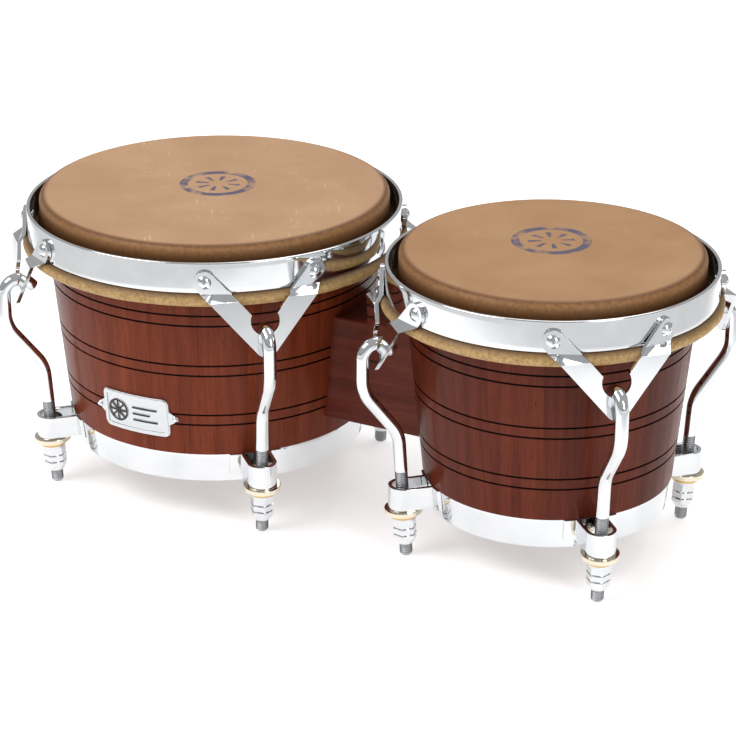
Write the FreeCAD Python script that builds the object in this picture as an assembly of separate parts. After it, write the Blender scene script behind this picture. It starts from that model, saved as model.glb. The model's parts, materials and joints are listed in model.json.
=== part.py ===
import FreeCAD, Part
import math
import os

from FreeCAD import Vector

# A pair of bongo drums: the large drum (hembra) and the small drum (macho) joined by a wooden block.
# Millimetres, +Z up, +X from the large drum to the small one. The lowest rod end is at z = 0.
# "drop" is a distance below the playing surface, which is the same for both drums.

# Head and shell
HEAD_RADIUS = {"hembra": 110.0, "macho": 91.2}
FOOT_RADIUS = {"hembra": 95.5, "macho": 76.0}
HOOP_GAP = 10.4
SKIN = 1.3
EDGE_ROUND = 7.0
SKIRT_DROP = 16.0
WALL = 12.0
INNER_EDGE_ROUND = 2.5

# Crown: the wrapped hoop, and the rim that pulls it down
RIM_TOP_DROP = 7.7
RIM_HEIGHT = 19.4
RIM_THICKNESS = 2.5
RIM_GAP = 5.65
RIM_EDGE = 0.8
WRAP_RADIUS = 4.0
WRAP_INSET = 0.95
HOOP_PLAY = 0.1
WRAP_END_DEG = 480.0
COLLAR_TOP_DROP = 12.0
COLLAR_FLARE_DROP = 20.0
COLLAR_CLEARANCE = 0.3

# Bottom ring
RING_TOP_DROP = 141.5
RING_HEIGHT = 19.4
RING_THICKNESS = 2.0
RING_TAPER = 2.0
RING_INSET = 1.0
RING_EDGE = 0.6
FOOT_SETBACK = 1.4

# Turned grooves around the shell
GROOVE_PAIRS = 3
GROOVE_FIRST_DROP = 50.1
GROOVE_LAST_LIFT = 23.9
GROOVE_SPREAD = 6.8
GROOVE_WIDTH = 1.3
GROOVE_DEPTH = 1.1

# Lug plates, riveted to the rim
LUG_ANGLES = (-135.0, -45.0, 45.0, 135.0)
PLATE = 2.5
PLATE_SEAT_GAP = 0.05
RIVET_OFFSET = 33.3
RIVET_DROP = 19.0
RIVET_SHANK = 2.4
RIVET_HOLE_PLAY = 0.1
RIVET_HEAD_RADIUS = 4.3
RIVET_HEAD_HEIGHT = 2.2
RIVET_TAIL_RADIUS = 3.6
RIVET_TAIL_HEIGHT = 1.2
ARM_WIDTH = 13.4
ARM_MEET_DROP = 58.5
JOGGLE_LIFT = 0.8
JOGGLE_END_LIFT = 1.1
VEE_TILT_DEG = 10.0
VEE_HOOP_GAP = 0.45
VEE_TIP_ROUND = 7.5
KEYHOLE_RADIUS = 8.8
KEYHOLE_LIFT = 5.6

# Tuning hooks, their nuts and washers
ROD_RADIUS = 3.97
ROD_TILT_DEG = 3.6
ROD_OUTSET = 0.4
ROD_TAIL = 8.6
ROD_CHAMFER = 0.9
HOOK_BEND = 9.0
HOOK_BEND_DROP = 57.5
HOOK_TIP_DEG = 135.0
HOOK_TIP = 3.9
HOOK_SLOPE_DEG = 37.5
HOOK_KNEE_DROP = 21.0
HOOK_KNEE_ROUND = 23.0
SLOT_CLEARANCE = 0.43
SLOT_REST_GAP = 0.35
NUT_ACROSS_FLATS = 12.7
NUT_HEIGHT = 17.6
NUT_COLLAR_RADIUS = 7.2
NUT_COLLAR_HEIGHT = 1.5
NUT_GROOVE_STEPS = (6.2, 10.6)
NUT_GROOVE_WIDTH = 1.1
NUT_GROOVE_DEPTH = 0.9
NUT_END_HEIGHT = 6.0
NUT_END_INSET = 1.5
NUT_BORE_PLAY = 0.1
NUT_FACE_GAP = 0.15
WASHER_RADIUS = 8.35
WASHER = 3.0
WASHER_HOLE_PLAY = 0.45
WASHER_EDGE = 0.7

# Lug pockets on the bottom ring
POCKET_HEIGHT = 14.6
POCKET_RADIUS = 9.3
POCKET_WALL = 2.4
POCKET_WELD_GAP = 0.05
FLANGE = 2.2
FLANGE_REACH = 7.0
FLOOR = 3.2
FLOOR_RADIUS = 11.6
FLOOR_HOLE_PLAY = 1.03

# Centre block and its bolts
BLOCK_WIDTH = 52.0
BLOCK_TOP_DROP = 60.0
BLOCK_RING_GAP = 13.0
BLOCK_EDGE = 1.5
BLOCK_SEAT_GAP = 0.15
BOLT_RADIUS = 3.97
BOLT_INSET = 15.0
BOLT_HOLE_PLAY = 0.25
BOLT_HEAD_ACROSS_FLATS = 12.7
BOLT_HEAD_HEIGHT = 5.5
BOLT_ENGAGEMENT = 15.0
BLOCK_WASHER_RADIUS = 10.0
BLOCK_WASHER = 1.6
SPOT_FACE_DEPTH = 2.2
SPOT_FACE_PLAY = 0.5
INSERT_RADIUS = 6.5
INSERT_LENGTH = 18.0
INSERT_SINK = 1.5
THREAD_PLAY = 0.03

# Badge on the front of the large drum
BADGE_ANGLE = -90.0
BADGE_WIDTH = 47.0
BADGE_HEIGHT = 25.7
BADGE_RING_GAP = 24.0
BADGE_CORNER = 4.0
BADGE = 1.3
BADGE_RELIEF = 0.6
BADGE_BORDER = 1.4
BADGE_SEAT_GAP = 0.05
ROSETTE_PLACE = -12.0
ROSETTE_RADIUS = 7.4
ROSETTE_LINE = 1.2
ROSETTE_SPOKES = 8
RULE_LENGTHS = (17.0, 12.0, 17.0)
RULE_START = -1.0
RULE_PITCH = 4.2
RULE_LINE = 1.1
EAR_REACH = 7.0
EAR_HEIGHT = 9.0
EAR_ROUND = 2.3
PIN_INSET = 3.4
PIN_RADIUS = 0.9
PIN_LENGTH = 6.0
PIN_HOLE_DEPTH = 7.0
PIN_HEAD_RADIUS = 1.9
PIN_HEAD_HEIGHT = 1.2
PIN_PLAY = 0.05

UP = Vector(0, 0, 1)
ORIGIN = Vector(0, 0, 0)
TILT = math.radians(ROD_TILT_DEG)
ROD_DOWN = Vector(-math.sin(TILT), 0, -math.cos(TILT))
STACK = FLOOR + WASHER + NUT_FACE_GAP + NUT_HEIGHT + ROD_TAIL
FLOOR_TOP_DROP = RING_TOP_DROP + POCKET_HEIGHT
ROD_END_DROP = FLOOR_TOP_DROP + STACK * math.cos(TILT) + (ROD_RADIUS - ROD_CHAMFER) * math.sin(TILT)
HEAD_TOP = ROD_END_DROP
ARM_ANGLE = math.atan2(RIVET_OFFSET, ARM_MEET_DROP - RIVET_DROP)
ARM_HALF_SPAN = 0.5 * ARM_WIDTH / math.cos(ARM_ANGLE)
VEE_TILT = math.radians(VEE_TILT_DEG)
RIM_BOTTOM_DROP = RIM_TOP_DROP + RIM_HEIGHT
HOOP_DROP = RIM_BOTTOM_DROP + WRAP_RADIUS
RING_BOTTOM_DROP = RING_TOP_DROP + RING_HEIGHT
SHELL_DROP = RING_BOTTOM_DROP - FOOT_SETBACK
SLOT_RADIUS = ROD_RADIUS + SLOT_CLEARANCE
SLOT_DROP = HOOK_BEND_DROP - HOOK_BEND + SLOT_REST_GAP


def level(drop):
    """Height above the rod ends of a place that lies the given drop below the playing surface."""
    return HEAD_TOP - drop


class Drum:
    """The sizes of one drum that follow from its head and foot radii."""

    def __init__(self, name):
        self.name = name
        self.head = HEAD_RADIUS[name]
        self.foot = FOOT_RADIUS[name]
        self.slope = (self.head - SKIN - self.foot) / (RING_TOP_DROP - SKIN)
        self.rim_inner = self.head + RIM_GAP
        self.rim_outer = self.rim_inner + RIM_THICKNESS
        self.hoop = self.rim_outer - WRAP_INSET
        self.outer = self.hoop + WRAP_RADIUS
        self.ring_top = self.foot - RING_INSET
        self.rod = self.head + ROD_OUTSET
        self.x = 0.0

    def shell_radius(self, drop):
        """Outer radius of the shell's cone at a drop."""
        return self.foot + self.slope * (RING_TOP_DROP - drop)

    def ring_radius(self, drop):
        """Outer radius of the tapered bottom ring at a drop."""
        return self.ring_top - RING_TAPER * (drop - RING_TOP_DROP) / RING_HEIGHT

    def vee_radius(self, drop):
        """Radius of a lug plate's inner face where it slopes outward, at a drop."""
        return self.outer + VEE_HOOP_GAP + (drop - HOOP_DROP) * math.tan(VEE_TILT)

    def rod_point(self, along):
        """Point on a rod's axis, a distance along it below the pocket floor's top face."""
        start = Vector(self.rod, 0, level(FLOOR_TOP_DROP))
        return start + ROD_DOWN * along

    def place(self, shape, angle=0.0):
        """Copy of a shape drawn about the drum's own axis, turned to an angle and put in place."""
        placed = shape.copy()
        placed.rotate(ORIGIN, UP, angle)
        placed.translate(Vector(self.x, 0, 0))
        return placed


HEMBRA = Drum("hembra")
MACHO = Drum("macho")
DRUMS = (HEMBRA, MACHO)
AXIS_SPACING = HEMBRA.outer + HOOP_GAP + MACHO.outer
HEMBRA.x = (HEMBRA.outer - MACHO.outer - AXIS_SPACING) / 2
MACHO.x = HEMBRA.x + AXIS_SPACING


def rounded_edges(points, radii, closed=True):
    """Straight runs through the points, with a tangent arc at each corner that has a radius."""
    corners = []
    for i, (point, radius) in enumerate(zip(points, radii)):
        if radius == 0:
            corners.append((point, None, point))
            continue
        back = (points[i - 1] - point).normalize()
        ahead = (points[(i + 1) % len(points)] - point).normalize()
        half = back.getAngle(ahead) / 2
        run = radius / math.tan(half)
        middle = point + (back + ahead).normalize() * (radius / math.sin(half) - radius)
        corners.append((point + back * run, middle, point + ahead * run))
    edges = []
    for i, (start, middle, end) in enumerate(corners):
        if middle is not None:
            edges.append(Part.Arc(start, middle, end).toShape())
        if closed or i + 1 < len(corners):
            edges.append(Part.makeLine(end, corners[(i + 1) % len(corners)][0]))
    return edges


def revolved(edges):
    """Solid of revolution about the Z axis from a closed outline in the XZ plane."""
    return Part.Face(Part.Wire(edges)).revolve(ORIGIN, UP, 360)


def turned(points, radii=None):
    """Solid of revolution from (radius, height) corners, some of them rounded."""
    corners = [Vector(radius, 0, height) for radius, height in points]
    return revolved(rounded_edges(corners, radii or [0] * len(corners)))


def prism(points, sweep):
    """Solid from a polygon swept along a vector."""
    return Part.Face(Part.makePolygon(points + [points[0]])).extrude(sweep)


def along_rod(shape, drum, along):
    """A shape drawn about +Z, turned to hang from the origin along a rod, at a distance along it."""
    placed = shape.copy()
    placed.rotate(ORIGIN, Vector(0, 1, 0), ROD_TILT_DEG)
    placed.translate(drum.rod_point(along))
    return placed


def hexagon(across_flats, start, height):
    """Hexagonal prism about +Z from a start height."""
    corner = across_flats / math.sqrt(3)
    points = [Vector(corner * math.cos(math.radians(60 * i)), corner * math.sin(math.radians(60 * i)), start)
              for i in range(6)]
    return prism(points, UP * height)


def groove_drops():
    """Drop of each groove's middle: pairs spread evenly down the shell."""
    last = RING_TOP_DROP - GROOVE_LAST_LIFT
    pitch = (last - GROOVE_FIRST_DROP) / (GROOVE_PAIRS - 1)
    drops = []
    for pair in range(GROOVE_PAIRS):
        middle = GROOVE_FIRST_DROP + pair * pitch
        drops += [middle - GROOVE_SPREAD / 2, middle + GROOVE_SPREAD / 2]
    return drops


def bolt_drops():
    """Drops of the two bolts that hold a shell to the block."""
    return (BLOCK_TOP_DROP + BOLT_INSET, RING_TOP_DROP - BLOCK_RING_GAP - BOLT_INSET)


def inward(drum):
    """Direction from a drum towards the other one."""
    return Vector(1, 0, 0) if drum is HEMBRA else Vector(-1, 0, 0)


def bolt_start(drum, drop):
    """Point on a block bolt's axis, on the flat floor of the shell's spot face."""
    radius = drum.shell_radius(drop) - WALL + SPOT_FACE_DEPTH
    return Vector(drum.x, 0, level(drop)) + inward(drum) * radius


def insert_start(drum, drop):
    """Mouth of a threaded insert in the block, on a block bolt's axis."""
    radius = drum.shell_radius(drop) + BLOCK_SEAT_GAP + INSERT_SINK
    return Vector(drum.x, 0, level(drop)) + inward(drum) * radius


def badge_pin_places():
    """(sideways offset, drop) of the two badge pins."""
    middle = RING_TOP_DROP - BADGE_RING_GAP
    reach = BADGE_WIDTH / 2 + EAR_REACH - PIN_INSET
    return ((-reach, middle), (reach, middle))


def badge_pin_frame(offset, drop):
    """Point on the shell's surface and outward direction for a badge pin, about the drum's axis."""
    radius = HEMBRA.shell_radius(drop)
    turn = math.asin(offset / radius)
    out = Vector(math.cos(turn), math.sin(turn), 0)
    return out * radius + UP * level(drop), out


def shell(drum):
    """Tapered wooden shell with turned grooves, a seat for the bottom ring, and bolt holes."""
    top = SKIN
    points = [(drum.shell_radius(top) - WALL, level(top)), (drum.shell_radius(top), level(top))]
    radii = [INNER_EDGE_ROUND, EDGE_ROUND - SKIN]
    for drop in groove_drops():
        above, below = drop - GROOVE_WIDTH / 2, drop + GROOVE_WIDTH / 2
        bed = drum.shell_radius(drop) - GROOVE_DEPTH
        points += [(drum.shell_radius(above), level(above)), (bed, level(above)),
                   (bed, level(below)), (drum.shell_radius(below), level(below))]
    seat_top = drum.ring_radius(RING_TOP_DROP) - RING_THICKNESS
    seat_foot = drum.ring_radius(SHELL_DROP) - RING_THICKNESS
    points += [(drum.foot, level(RING_TOP_DROP)), (seat_top, level(RING_TOP_DROP)),
               (seat_foot, level(SHELL_DROP)), (drum.shell_radius(SHELL_DROP) - WALL, level(SHELL_DROP))]
    radii += [0] * (len(points) - len(radii))
    body = drum.place(turned(points, radii))
    for drop in bolt_drops():
        start = bolt_start(drum, drop)
        out = inward(drum)
        body = body.cut(Part.makeCylinder(BOLT_RADIUS + BOLT_HOLE_PLAY, 2 * WALL, start, out))
        recess = BLOCK_WASHER_RADIUS + SPOT_FACE_PLAY
        body = body.cut(Part.makeCylinder(recess, WALL, start - out * WALL, out))
    if drum is HEMBRA:
        for offset, drop in badge_pin_places():
            point, out = badge_pin_frame(offset, drop)
            depth = PIN_HOLE_DEPTH + BADGE
            hole = Part.makeCylinder(PIN_RADIUS + PIN_PLAY, depth, point + out * BADGE, out * -1)
            body = body.cut(drum.place(hole, BADGE_ANGLE))
    return body


def head_membrane(drum):
    """Playing skin: a flat disc that turns down over the shell's edge into a short skirt."""
    inner = drum.head - SKIN
    points = [(0, level(0)), (drum.head, level(0)), (drum.head, level(SKIRT_DROP)),
              (inner, level(SKIRT_DROP)), (inner, level(SKIN)), (0, level(SKIN))]
    return drum.place(turned(points, [0, EDGE_ROUND, 0, 0, EDGE_ROUND - SKIN, 0]))


def head_collar(drum):
    """Lower part of the skin: slides down outside the skirt, flares and wraps the hoop."""
    centre = Vector(drum.hoop, 0, level(HOOP_DROP))
    faces = []
    for radius, side in ((WRAP_RADIUS, drum.head + COLLAR_CLEARANCE),
                         (WRAP_RADIUS - SKIN, drum.head + COLLAR_CLEARANCE + SKIN)):
        top = Vector(side, 0, level(COLLAR_TOP_DROP))
        flare = Vector(side, 0, level(COLLAR_FLARE_DROP))
        reach = flare - centre
        touch = math.atan2(reach.z, reach.x) + math.acos(radius / reach.Length)
        end = math.radians(WRAP_END_DEG)
        turns = (touch, (touch + end) / 2, end)
        places = [centre + Vector(math.cos(a), 0, math.sin(a)) * radius for a in turns]
        faces.append((top, flare, places))
    (top_in, flare_in, wrap_out), (top_out, flare_out, wrap_in) = faces
    edges = [Part.makeLine(top_in, flare_in), Part.makeLine(flare_in, wrap_out[0]),
             Part.Arc(*wrap_out).toShape(), Part.makeLine(wrap_out[2], wrap_in[2]),
             Part.Arc(*reversed(wrap_in)).toShape(), Part.makeLine(wrap_in[0], flare_out),
             Part.makeLine(flare_out, top_out), Part.makeLine(top_out, top_in)]
    return drum.place(revolved(edges))


def flesh_hoop(drum):
    """Round steel ring inside the wrap of the skin."""
    section = WRAP_RADIUS - SKIN - HOOP_PLAY
    return drum.place(Part.makeTorus(drum.hoop, section, Vector(0, 0, level(HOOP_DROP)), UP))


def rivet_frames(drum):
    """Turn from the lug's middle, point on the rim and outward direction of a lug's two rivets."""
    turn = math.asin(RIVET_OFFSET / drum.rim_outer)
    frames = []
    for side in (-turn, turn):
        out = Vector(math.cos(side), math.sin(side), 0)
        frames.append((side, out * drum.rim_outer + UP * level(RIVET_DROP), out))
    return frames


def rim(drum):
    """Flat steel band that sits on the wrapped hoop, drilled for the lug plates' rivets."""
    points = [(drum.rim_inner, level(RIM_TOP_DROP)), (drum.rim_outer, level(RIM_TOP_DROP)),
              (drum.rim_outer, level(RIM_BOTTOM_DROP)), (drum.rim_inner, level(RIM_BOTTOM_DROP))]
    band = turned(points, [RIM_EDGE] * 4)
    for angle in LUG_ANGLES:
        for _, point, out in rivet_frames(drum):
            depth = 2 * PLATE + RIM_THICKNESS
            hole = Part.makeCylinder(RIVET_SHANK + RIVET_HOLE_PLAY, depth, point + out * PLATE, out * -1)
            hole.rotate(ORIGIN, UP, angle)
            band = band.cut(hole)
    return drum.place(band)


def rim_rivets(drum):
    """Domed rivets that hold the four lug plates on the rim."""
    face = PLATE_SEAT_GAP + PLATE
    dome = (RIVET_HEAD_RADIUS ** 2 + RIVET_HEAD_HEIGHT ** 2) / (2 * RIVET_HEAD_HEIGHT)
    tail = -RIM_THICKNESS - RIVET_TAIL_HEIGHT
    shank = Part.makeCylinder(RIVET_SHANK, face - tail, Vector(0, 0, tail))
    head = Part.makeSphere(dome, Vector(0, 0, face + RIVET_HEAD_HEIGHT - dome))
    head = head.common(Part.makeCylinder(RIVET_HEAD_RADIUS, RIVET_HEAD_HEIGHT, Vector(0, 0, face)))
    peen = Part.makeCylinder(RIVET_TAIL_RADIUS, RIVET_TAIL_HEIGHT - RIM_EDGE / 2, Vector(0, 0, tail))
    rivet = shank.fuse([head, peen]).removeSplitter()
    rivet.rotate(ORIGIN, Vector(0, 1, 0), 90)
    solids = []
    for angle in LUG_ANGLES:
        for side, point, _ in rivet_frames(drum):
            placed = rivet.copy()
            placed.rotate(ORIGIN, UP, math.degrees(side))
            placed.translate(point)
            solids.append(drum.place(placed, angle))
    return Part.makeCompound(solids)


def arm_edges(drop):
    """Sideways places of a lug arm's inner and outer edges, at a drop."""
    middle = (ARM_MEET_DROP - drop) * math.tan(ARM_ANGLE)
    return middle - ARM_HALF_SPAN, middle + ARM_HALF_SPAN


def lug_arm_top(drum, side, point, out):
    """Riveted tab and joggle of one arm, down to where the plate starts to slope."""
    seat = point + out * PLATE_SEAT_GAP
    across = Vector(-math.sin(side), math.cos(side), 0)

    def on_tab(offset, drop):
        run = (math.copysign(offset, side) - seat.y) / across.y
        return seat + across * run + UP * (level(drop) - seat.z)

    def on_vee(offset, drop):
        return Vector(drum.vee_radius(drop), math.copysign(offset, side), level(drop))

    bend, slope = RIM_BOTTOM_DROP - JOGGLE_LIFT, HOOP_DROP - JOGGLE_END_LIFT
    shift_across = 0.5 * ARM_WIDTH * math.cos(ARM_ANGLE)
    shift_down = 0.5 * ARM_WIDTH * math.sin(ARM_ANGLE)
    inner, outer = arm_edges(bend)
    outline = [on_tab(RIVET_OFFSET - shift_across, RIVET_DROP - shift_down),
               on_tab(RIVET_OFFSET + shift_across, RIVET_DROP + shift_down),
               on_tab(outer, bend), on_tab(inner, bend)]
    tab = Part.makeCylinder(0.5 * ARM_WIDTH, PLATE, seat, out).fuse(prism(outline, out * PLATE))
    tab = tab.cut(Part.makeCylinder(RIVET_SHANK + RIVET_HOLE_PLAY, 3 * PLATE, seat - out * PLATE, out))
    thick = Vector(PLATE / math.cos(VEE_TILT), 0, 0)
    upper = [on_tab(inner, bend), on_tab(outer, bend), on_tab(outer, bend) + out * PLATE,
             on_tab(inner, bend) + out * PLATE]
    inner, outer = arm_edges(slope)
    lower = [on_vee(inner, slope), on_vee(outer, slope), on_vee(outer, slope) + thick,
             on_vee(inner, slope) + thick]
    wires = [Part.makePolygon(section + [section[0]]) for section in (upper, lower)]
    return tab.fuse(Part.makeLoft(wires, True, True))


def lug_plate(drum):
    """Forked chrome plate: two riveted arms that meet in a point with a keyhole for the hook."""
    slope = HOOP_DROP - JOGGLE_END_LIFT
    inner, outer = arm_edges(slope)
    crotch = ARM_MEET_DROP - ARM_HALF_SPAN / math.tan(ARM_ANGLE)
    tip = ARM_MEET_DROP + ARM_HALF_SPAN / math.tan(ARM_ANGLE)
    outline = [(inner, slope), (outer, slope), (0, tip), (-outer, slope), (-inner, slope), (0, crotch)]
    points = [Vector(drum.vee_radius(drop), offset, level(drop)) for offset, drop in outline]
    face = Part.Face(Part.Wire(rounded_edges(points, [0, 0, VEE_TIP_ROUND, 0, 0, 0])))
    plate = face.extrude(Vector(PLATE / math.cos(VEE_TILT), 0, 0))
    arms = [lug_arm_top(drum, *frame) for frame in rivet_frames(drum)]
    plate = plate.fuse(arms).removeSplitter()
    normal = Vector(math.cos(VEE_TILT), 0, math.sin(VEE_TILT))
    for radius, drop in ((KEYHOLE_RADIUS, SLOT_DROP - KEYHOLE_LIFT), (SLOT_RADIUS, SLOT_DROP)):
        middle = Vector(drum.vee_radius(drop), 0, level(drop))
        plate = plate.cut(Part.makeCylinder(radius, 4 * PLATE, middle - normal * PLATE, normal))
    left = Vector(drum.vee_radius(SLOT_DROP), -SLOT_RADIUS, level(SLOT_DROP)) - normal * PLATE
    right = left + Vector(0, 2 * SLOT_RADIUS, 0)
    rise = Vector(-math.sin(VEE_TILT), 0, math.cos(VEE_TILT)) * KEYHOLE_LIFT
    return plate.cut(prism([left, right, right + rise, left + rise], normal * (4 * PLATE)))


def hook_path(drum):
    """Centreline of a tuning hook: straight rod, outward knee, upright leg and the bend over the slot."""
    bend = Vector(drum.vee_radius(SLOT_DROP + SLOT_RADIUS) + PLATE / 2, 0, level(HOOK_BEND_DROP))
    leg = bend.x + HOOK_BEND
    knee = Vector(leg, 0, bend.z - HOOK_KNEE_DROP)
    slope = math.tan(math.radians(HOOK_SLOPE_DEG))
    floor = drum.rod_point(0)
    rise = (knee.x - floor.x - (knee.z - floor.z) * slope) / (math.tan(TILT) - slope)
    elbow = floor + Vector(rise * math.tan(TILT), 0, rise)
    foot = drum.rod_point(STACK - ROD_CHAMFER)
    end = math.radians(HOOK_TIP_DEG)
    crest = [bend + Vector(math.cos(a), 0, math.sin(a)) * HOOK_BEND for a in (0, end / 2, end)]
    edges = rounded_edges([foot, elbow, knee, crest[0]], [0, HOOK_KNEE_ROUND, HOOK_KNEE_ROUND, 0], False)
    edges.append(Part.Arc(*crest).toShape())
    heading = Vector(-math.sin(end), 0, math.cos(end))
    edges.append(Part.makeLine(crest[2], crest[2] + heading * HOOK_TIP))
    return edges, foot, crest[2] + heading * HOOK_TIP, heading


def hook(drum):
    """Bent tuning rod of round bar, chamfered at both ends."""
    edges, foot, tip, heading = hook_path(drum)
    section = Part.Wire(Part.makeCircle(ROD_RADIUS, foot, ROD_DOWN))
    bar = Part.Wire(edges).makePipeShell([section], True, True)
    small = ROD_RADIUS - ROD_CHAMFER
    ends = [Part.makeCone(ROD_RADIUS, small, ROD_CHAMFER, foot, ROD_DOWN),
            Part.makeCone(ROD_RADIUS, small, ROD_CHAMFER, tip, heading)]
    return bar.fuse(ends).removeSplitter()


def nut(drum):
    """Tall tuning nut: a hexagon with a round face, two turned grooves and a rounded lower end."""
    full = NUT_ACROSS_FLATS / math.sqrt(3) + 1
    flat = NUT_ACROSS_FLATS / 2
    points = [(0, 0), (NUT_COLLAR_RADIUS, 0), (NUT_COLLAR_RADIUS, -NUT_COLLAR_HEIGHT)]
    for step in NUT_GROOVE_STEPS:
        points += [(full, points[-1][1]), (full, -step), (flat - NUT_GROOVE_DEPTH, -step),
                   (flat - NUT_GROOVE_DEPTH, -step - NUT_GROOVE_WIDTH)]
    points += [(full, points[-1][1]), (full, NUT_END_HEIGHT - NUT_HEIGHT),
               (flat - NUT_END_INSET, -NUT_HEIGHT), (0, -NUT_HEIGHT)]
    envelope = turned(points)
    body = envelope.common(hexagon(NUT_ACROSS_FLATS, -NUT_HEIGHT, NUT_HEIGHT - NUT_COLLAR_HEIGHT / 2))
    collar = Part.makeCylinder(NUT_COLLAR_RADIUS, NUT_COLLAR_HEIGHT, Vector(0, 0, -NUT_COLLAR_HEIGHT))
    bore = Part.makeCylinder(ROD_RADIUS + NUT_BORE_PLAY, 3 * NUT_HEIGHT, Vector(0, 0, -2 * NUT_HEIGHT))
    return along_rod(body.fuse(collar).removeSplitter().cut(bore), drum, FLOOR + WASHER + NUT_FACE_GAP)


def nut_washers(drum):
    """Thick washers between the pocket floors and the nuts."""
    hole = ROD_RADIUS + WASHER_HOLE_PLAY
    washer = turned([(hole, 0), (WASHER_RADIUS, 0), (WASHER_RADIUS, -WASHER), (hole, -WASHER)],
                    [0, WASHER_EDGE, WASHER_EDGE, 0])
    placed = along_rod(washer, drum, FLOOR)
    return Part.makeCompound([drum.place(placed, angle) for angle in LUG_ANGLES])


def ring_cone(drum, offset):
    """Solid cone just outside the bottom ring, longer than the ring at both ends."""
    top, foot = RING_TOP_DROP - RING_HEIGHT, RING_BOTTOM_DROP + RING_HEIGHT
    return turned([(0, level(top)), (drum.ring_radius(top) + offset, level(top)),
                   (drum.ring_radius(foot) + offset, level(foot)), (0, level(foot))])


def bottom_ring(drum):
    """Tapered steel band around the shell's foot."""
    points = []
    for drop in (RING_TOP_DROP, RING_BOTTOM_DROP):
        outer = drum.ring_radius(drop)
        edge = [(outer - RING_THICKNESS, level(drop)), (outer, level(drop))]
        points += edge if drop == RING_TOP_DROP else edge[::-1]
    return drum.place(turned(points, [0, RING_EDGE, RING_EDGE, 0]))


def below_floor(drum):
    """Everything under the pocket floor's tilted top face, near one lug."""
    reach = drum.rod
    return along_rod(Part.makeBox(2 * reach, 2 * reach, reach, Vector(-reach, -reach, -reach)), drum, 0)


def slot_prism(drum, radius):
    """Upright prism with a half-round outer end about the rod and straight sides to the drum's axis."""
    height = 2 * POCKET_HEIGHT
    base = Vector(drum.rod, 0, level(RING_TOP_DROP) - height)
    sides = Part.makeBox(drum.rod, 2 * radius, height, Vector(0, -radius, base.z))
    return sides.fuse(Part.makeCylinder(radius, height, base)).removeSplitter()


def lug_pocket(drum):
    """Strap bent around the rod, with a flange each side that is welded on the bottom ring."""
    outside = slot_prism(drum, POCKET_RADIUS)
    wall = outside.cut(slot_prism(drum, POCKET_RADIUS - POCKET_WALL))
    reach = POCKET_RADIUS + FLANGE_REACH
    sector = Part.makeBox(drum.rod, 2 * reach, 2 * POCKET_HEIGHT,
                          Vector(0, -reach, level(RING_TOP_DROP) - 2 * POCKET_HEIGHT))
    flange = ring_cone(drum, POCKET_WELD_GAP + FLANGE).common(sector).cut(outside)
    strap = wall.cut(ring_cone(drum, POCKET_WELD_GAP)).fuse(flange.cut(ring_cone(drum, POCKET_WELD_GAP)))
    return strap.removeSplitter().cut(below_floor(drum))


def pocket_floors(drum):
    """Plates under the pockets, drilled for the rods, that the nuts pull against."""
    plate = Part.makeCylinder(FLOOR_RADIUS, FLOOR, Vector(0, 0, -FLOOR))
    hole = ROD_RADIUS + FLOOR_HOLE_PLAY
    plate = plate.cut(Part.makeCylinder(hole, 3 * FLOOR, Vector(0, 0, -2 * FLOOR)))
    placed = along_rod(plate, drum, 0).cut(ring_cone(drum, POCKET_WELD_GAP))
    return Part.makeCompound([drum.place(placed, angle) for angle in LUG_ANGLES])


def center_block():
    """Wooden block between the shells, hollowed at each end to fit them, with holes for the inserts."""
    foot = RING_TOP_DROP - BLOCK_RING_GAP
    block = Part.makeBox(AXIS_SPACING, BLOCK_WIDTH, foot - BLOCK_TOP_DROP,
                         Vector(HEMBRA.x, -BLOCK_WIDTH / 2, level(foot)))
    long_edges = [edge for edge in block.Edges if abs(edge.Length - AXIS_SPACING) < 1e-6]
    block = block.makeFillet(BLOCK_EDGE, long_edges)
    for drum in DRUMS:
        cone = turned([(0, level(0)), (drum.shell_radius(0) + BLOCK_SEAT_GAP, level(0)),
                       (drum.foot + BLOCK_SEAT_GAP, level(RING_TOP_DROP)), (0, level(RING_TOP_DROP))])
        block = block.cut(drum.place(cone))
        for drop in bolt_drops():
            start = insert_start(drum, drop) - inward(drum) * WALL
            depth = WALL + INSERT_LENGTH
            block = block.cut(Part.makeCylinder(INSERT_RADIUS + THREAD_PLAY, depth, start, inward(drum)))
    return block


def block_bolts():
    """Hexagon bolts that hold the shells to the block from inside."""
    bolts = []
    for drum in DRUMS:
        for drop in bolt_drops():
            start, mouth = bolt_start(drum, drop), insert_start(drum, drop)
            reach = (mouth - start).Length + BOLT_ENGAGEMENT
            head = hexagon(BOLT_HEAD_ACROSS_FLATS, -BLOCK_WASHER - BOLT_HEAD_HEIGHT, BOLT_HEAD_HEIGHT)
            shank = Part.makeCylinder(BOLT_RADIUS, reach + BLOCK_WASHER, Vector(0, 0, -BLOCK_WASHER))
            bolt = head.fuse(shank).removeSplitter()
            bolt.rotate(ORIGIN, Vector(0, 1, 0), 90 * inward(drum).x)
            bolt.translate(start)
            bolts.append(bolt)
    return Part.makeCompound(bolts)


def block_washers():
    """Flat washers under the block bolts' heads, on the shells' spot faces."""
    washers = []
    for drum in DRUMS:
        for drop in bolt_drops():
            start = bolt_start(drum, drop) - inward(drum) * BLOCK_WASHER
            disc = Part.makeCylinder(BLOCK_WASHER_RADIUS, BLOCK_WASHER, start, inward(drum))
            hole = Part.makeCylinder(BOLT_RADIUS + BOLT_HOLE_PLAY, BLOCK_WASHER, start, inward(drum))
            washers.append(disc.cut(hole))
    return Part.makeCompound(washers)


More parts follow.
